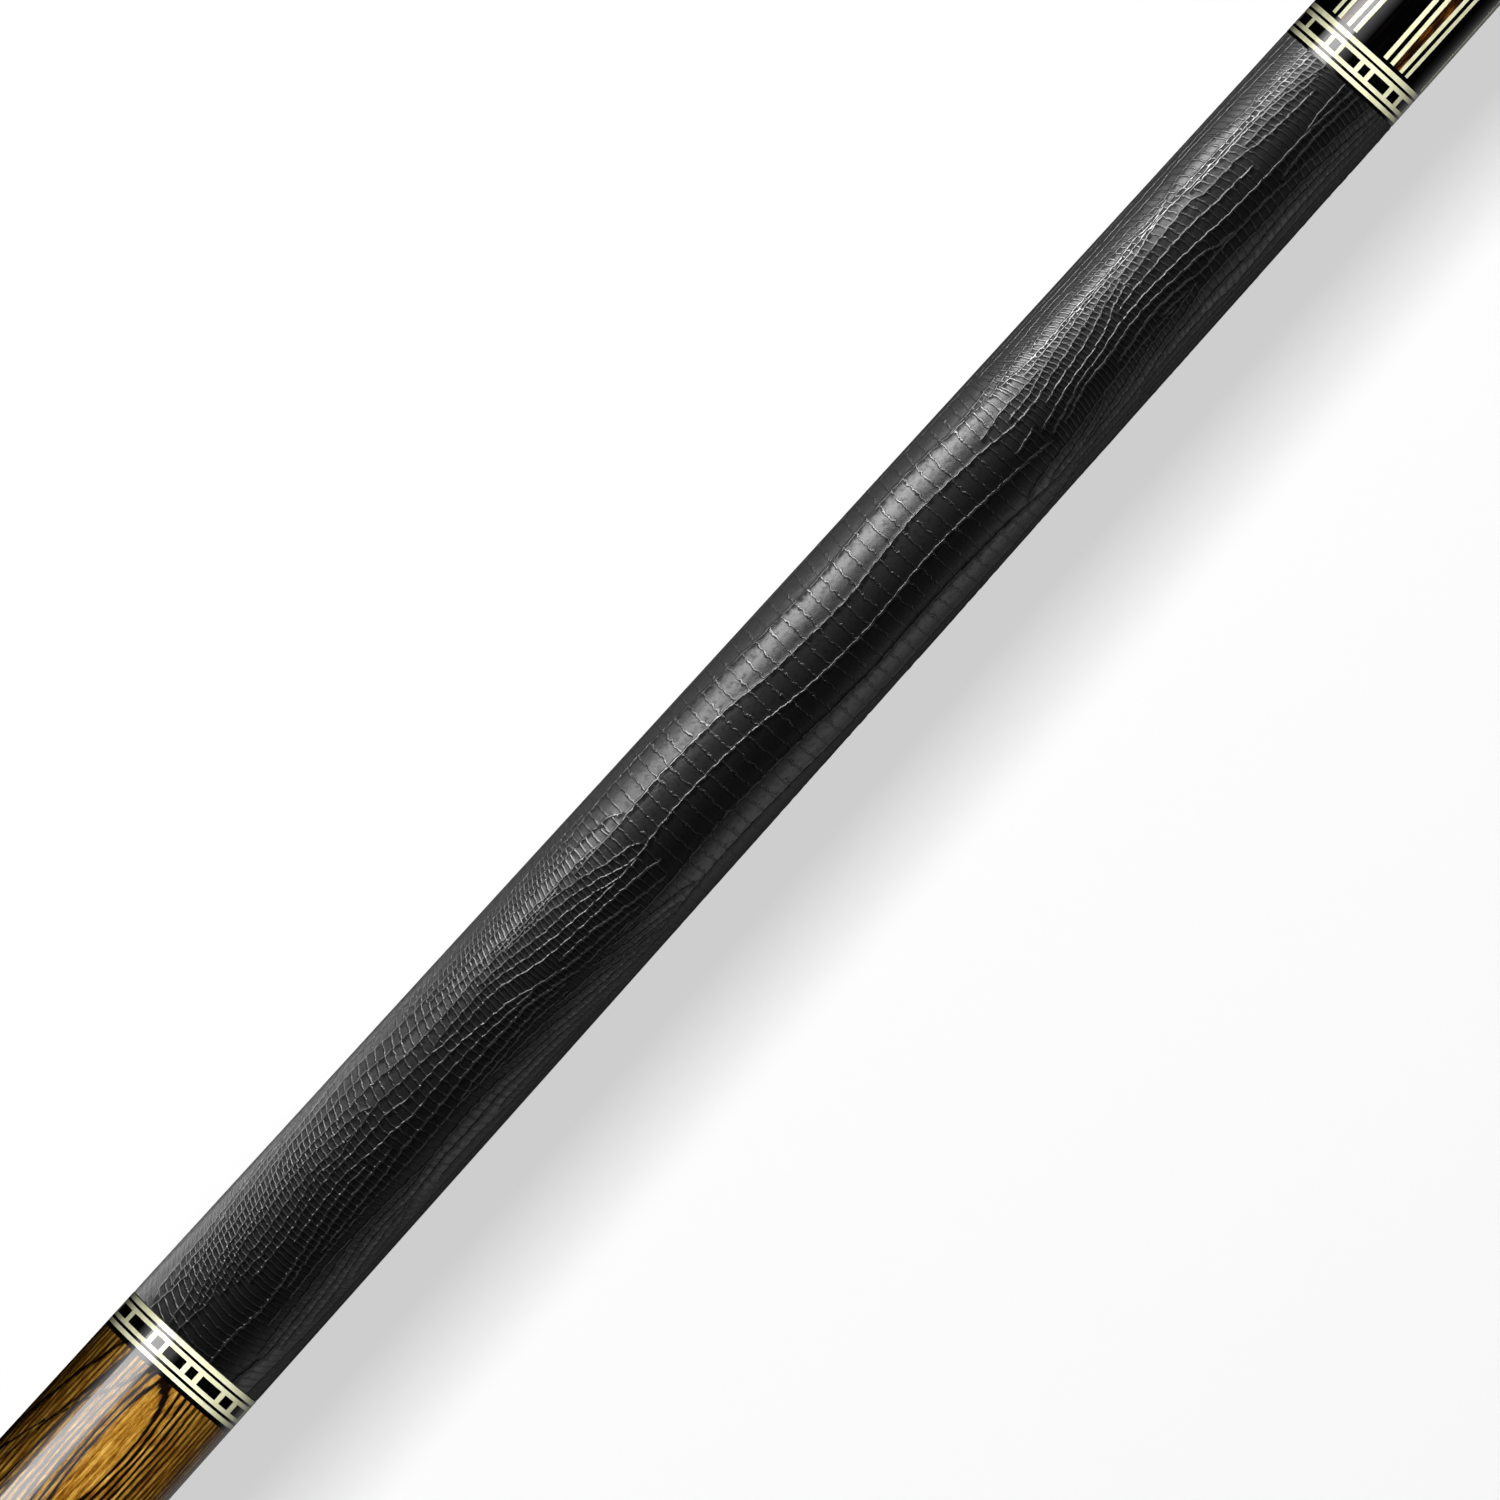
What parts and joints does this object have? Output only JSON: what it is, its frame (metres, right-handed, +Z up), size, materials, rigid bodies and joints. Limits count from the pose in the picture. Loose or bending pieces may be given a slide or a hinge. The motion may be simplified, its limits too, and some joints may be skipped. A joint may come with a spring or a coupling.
{
  "type": "pool cue",
  "caption": "Two-piece pool cue lying on its side: rubber-bumpered butt with an inlaid forearm, ringed leather grip, screw joint, and tapered maple shaft with ferrule and leather tip.",
  "frame": {"origin": "on the surface that the cue lies on, under the middle of its length, which is the face of the joint", "axes": "+X along the cue towards the tip, +Z up, +Y to the left of someone who looks from the butt to the tip"},
  "size_m": [1.4732, 0.031, 0.0309],
  "materials": {
    "bumper_rubber": "black moulded rubber, matt",
    "black_phenolic": "black phenolic, turned and lacquered to a high gloss",
    "cream_ring": "cream ivory-substitute ring stock under clear gloss",
    "veneer": "dyed veneers glued into one band: cream, black and cream, under clear gloss",
    "bocote": "golden-brown bocote with black figure under clear gloss",
    "ebony": "black ebony under clear gloss",
    "maple": "hard maple, sealed and burnished",
    "lizard_leather": "black reptile-embossed leather, polished",
    "tip_leather": "pressed leather, scuffed and chalked",
    "red_fibre": "red vulcanised fibre",
    "ferrule_white": "off-white polymer, buffed",
    "stainless_steel": "stainless steel, machined",
    "brass": "brass, machined"
  },
  "bodies": {
    "butt": {"a_joint_stud": "stainless_steel", "butt_cap": "black_phenolic", "butt_sleeve": "bocote", "cap_ring_black_1": "black_phenolic", "cap_ring_cream_1": "cream_ring", "cap_ring_cream_2": "cream_ring", "forearm": "ebony", "handle_core": "maple", "joint_collar": "black_phenolic", "joint_pin": "stainless_steel", "joint_ring_black_1": "black_phenolic", "joint_ring_cream_1": "cream_ring", "joint_ring_cream_2": "cream_ring", "leather_wrap": "lizard_leather", "lower_ring_black_0": "black_phenolic", "lower_ring_black_1": "black_phenolic", "lower_ring_black_2": "black_phenolic", "lower_ring_blocks": "black_phenolic", "lower_ring_cream_1": "cream_ring", "lower_ring_cream_2": "cream_ring", "lower_ring_cream_3": "cream_ring", "lower_ring_toothed": "cream_ring", "point_core_1": "bocote", "point_core_2": "bocote", "point_core_3": "bocote", "point_core_4": "bocote", "point_core_5": "bocote", "point_core_6": "bocote", "point_veneer_1": "veneer", "point_veneer_2": "veneer", "point_veneer_3": "veneer", "point_veneer_4": "veneer", "point_veneer_5": "veneer", "point_veneer_6": "veneer", "upper_ring_black_0": "black_phenolic", "upper_ring_black_1": "black_phenolic", "upper_ring_black_2": "black_phenolic", "upper_ring_blocks": "black_phenolic", "upper_ring_cream_1": "cream_ring", "upper_ring_cream_2": "cream_ring", "upper_ring_cream_3": "cream_ring", "upper_ring_toothed": "cream_ring", "weight_bolt": "stainless_steel"},
    "bumper": {"bumper": "bumper_rubber"},
    "shaft_insert": {"shaft_insert": "brass"},
    "shaft": {"ferrule": "ferrule_white", "leather_tip": "tip_leather", "shaft": "maple", "shaft_collar": "black_phenolic", "shaft_ring_black_1": "black_phenolic", "shaft_ring_cream_1": "cream_ring", "shaft_ring_cream_2": "cream_ring", "tip_pad": "red_fibre"}
  },
  "joints": [
    {"name": "bumper_pull", "type": "slide", "parent": "butt", "child": "bumper", "axis": [-1, 0, 0], "range_m": [0, 0.015]},
    {"name": "shaft_withdraw", "type": "slide", "parent": "butt", "child": "shaft_insert", "axis": [1, 0, 0], "range_m": [0, 0.03175]},
    {"name": "shaft_turn", "type": "hinge", "parent": "shaft_insert", "child": "shaft", "pos_m": [0, 0, 0.01546], "axis": [1, 0, 0], "range_deg": [0, 4500]}
  ],
  "couplings": [
    {"joint": "shaft_turn", "follows": "shaft_withdraw", "rad_per_m": 2473.7}
  ]
}
